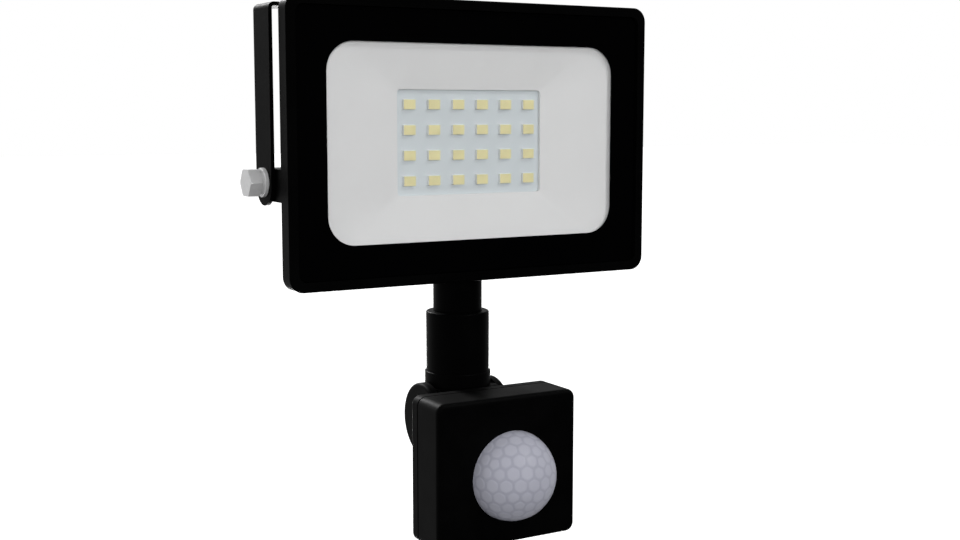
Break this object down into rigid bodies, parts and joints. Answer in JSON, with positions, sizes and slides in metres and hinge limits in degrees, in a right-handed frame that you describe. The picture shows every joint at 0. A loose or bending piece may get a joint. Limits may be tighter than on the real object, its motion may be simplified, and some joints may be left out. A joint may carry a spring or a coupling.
{
  "type": "led floodlight with motion sensor",
  "caption": "Slim outdoor LED floodlight: black cast housing with a white reflector behind glass, tilting in a U bracket, and a swivelling, tilting motion-sensor head with a domed lens below.",
  "frame": {"origin": "centre of the mounting face of the bracket's bridge, in the middle of its centre hole", "axes": "+Z out of the bracket's mounting face, +X to the right seen from the front along the tilt axis, -Y the way the lamp shines at rest"},
  "size_m": [0.1244, 0.0618, 0.147],
  "materials": {
    "bracket_paint": "black powder coat on steel strip",
    "housing_coat": "fine-textured black powder coat on die-cast aluminium",
    "window_glass": "clear toughened glass",
    "border_enamel": "black enamel print on glass",
    "seal_rubber": "black silicone",
    "reflector_white": "matt white reflector",
    "board_white": "white solder mask on an aluminium board",
    "pad_grey": "grey thermal pad",
    "led_body": "white LED housing",
    "led_phosphor": "yellow phosphor",
    "chip_black": "moulded black epoxy",
    "resistor_black": "black chip resistor",
    "zinc_steel": "zinc-plated steel",
    "screw_steel": "plated steel screw",
    "gland_plastic": "black polyamide",
    "terminal_plastic": "natural polyamide",
    "brass_insert": "turned brass",
    "tinned_copper": "tinned copper",
    "lead_pvc": "PVC insulated wires",
    "neck_plastic": "black moulded plastic",
    "head_plastic": "black moulded plastic, fine grain",
    "lens_white": "translucent white polyethylene",
    "retainer_plastic": "black moulded plastic",
    "circuit_board": "green circuit board",
    "can_metal": "plated metal can",
    "filter_window": "dark infrared filter",
    "relay_case": "black relay case",
    "capacitor_film": "dipped film capacitor",
    "capacitor_sleeve": "sleeved electrolytic capacitor",
    "sensor_clear": "clear light sensor",
    "connector_white": "white connector",
    "trimmer_blue": "blue trimmer body",
    "dial_grey": "grey moulded dial"
  },
  "bodies": {
    "bracket": {"bracket": "bracket_paint"},
    "floodlight": {"housing": "housing_coat", "front_glass": "window_glass", "glass_border_print": "border_enamel", "glass_seal": "seal_rubber", "reflector": "reflector_white", "led_board": "board_white", "thermal_pad": "pad_grey", "led_packages": "led_body", "led_phosphors": "led_phosphor", "driver_chips": "chip_black", "rectifier": "chip_black", "chip_resistors": "resistor_black", "board_screws": "screw_steel", "rear_cover": "housing_coat", "rear_cover_seal": "seal_rubber", "rear_cover_screws": "screw_steel", "gland_body": "gland_plastic", "gland_seal": "seal_rubber", "gland_dome_nut": "gland_plastic", "gland_lock_nut": "gland_plastic", "terminal_block": "terminal_plastic", "terminal_screws": "screw_steel", "earth_screw": "brass_insert", "earth_tag": "tinned_copper", "lamp_leads": "lead_pvc", "neck_leads": "lead_pvc", "bracket_bolts": "zinc_steel", "flat_washers": "zinc_steel", "spring_washers": "zinc_steel", "neck_tube": "neck_plastic", "neck_seal": "seal_rubber", "swivel_o_ring": "seal_rubber", "swivel_clip": "screw_steel"},
    "sensor_swivel": {"swivel_collar": "neck_plastic", "knuckle": "neck_plastic", "swivel_leads": "lead_pvc"},
    "sensor_head": {"head_front_cover": "head_plastic", "head_back_cover": "head_plastic", "head_seal": "seal_rubber", "head_screws": "screw_steel", "tilt_insert": "brass_insert", "tilt_screw": "screw_steel", "pir_lens": "lens_white", "lens_retainer": "retainer_plastic", "sensor_board": "circuit_board", "pir_holder": "retainer_plastic", "pir_element": "can_metal", "pir_filter": "filter_window", "relay": "relay_case", "film_capacitor": "capacitor_film", "round_capacitor": "capacitor_sleeve", "controller_chip": "chip_black", "light_sensor": "sensor_clear", "lead_connector": "connector_white", "head_leads": "lead_pvc", "trimmers": "trimmer_blue"},
    "time_dial": {"dial_time": "dial_grey"},
    "range_dial": {"dial_range": "dial_grey"},
    "light_dial": {"dial_light": "dial_grey"}
  },
  "joints": [
    {"name": "lamp_tilt", "type": "hinge", "parent": "bracket", "child": "floodlight", "pos_m": [0, 0, -0.0464], "axis": [1, 0, 0], "range_deg": [-4, 115]},
    {"name": "head_swivel", "type": "hinge", "parent": "floodlight", "child": "sensor_swivel", "pos_m": [0, -0.00175, -0.08425], "axis": [0, 0, 1], "range_deg": [-90, 90]},
    {"name": "head_tilt", "type": "hinge", "parent": "sensor_swivel", "child": "sensor_head", "pos_m": [0, -0.00175, -0.1149], "axis": [1, 0, 0], "range_deg": [-14, 60]},
    {"name": "time_turn", "type": "hinge", "parent": "sensor_head", "child": "time_dial", "pos_m": [-0.0105, -0.0228, -0.1449], "axis": [0, 0, 1], "range_deg": [-135, 135]},
    {"name": "range_turn", "type": "hinge", "parent": "sensor_head", "child": "range_dial", "pos_m": [0, -0.0228, -0.1449], "axis": [0, 0, 1], "range_deg": [-135, 135]},
    {"name": "light_turn", "type": "hinge", "parent": "sensor_head", "child": "light_dial", "pos_m": [0.0105, -0.0228, -0.1449], "axis": [0, 0, 1], "range_deg": [-135, 135]}
  ]
}
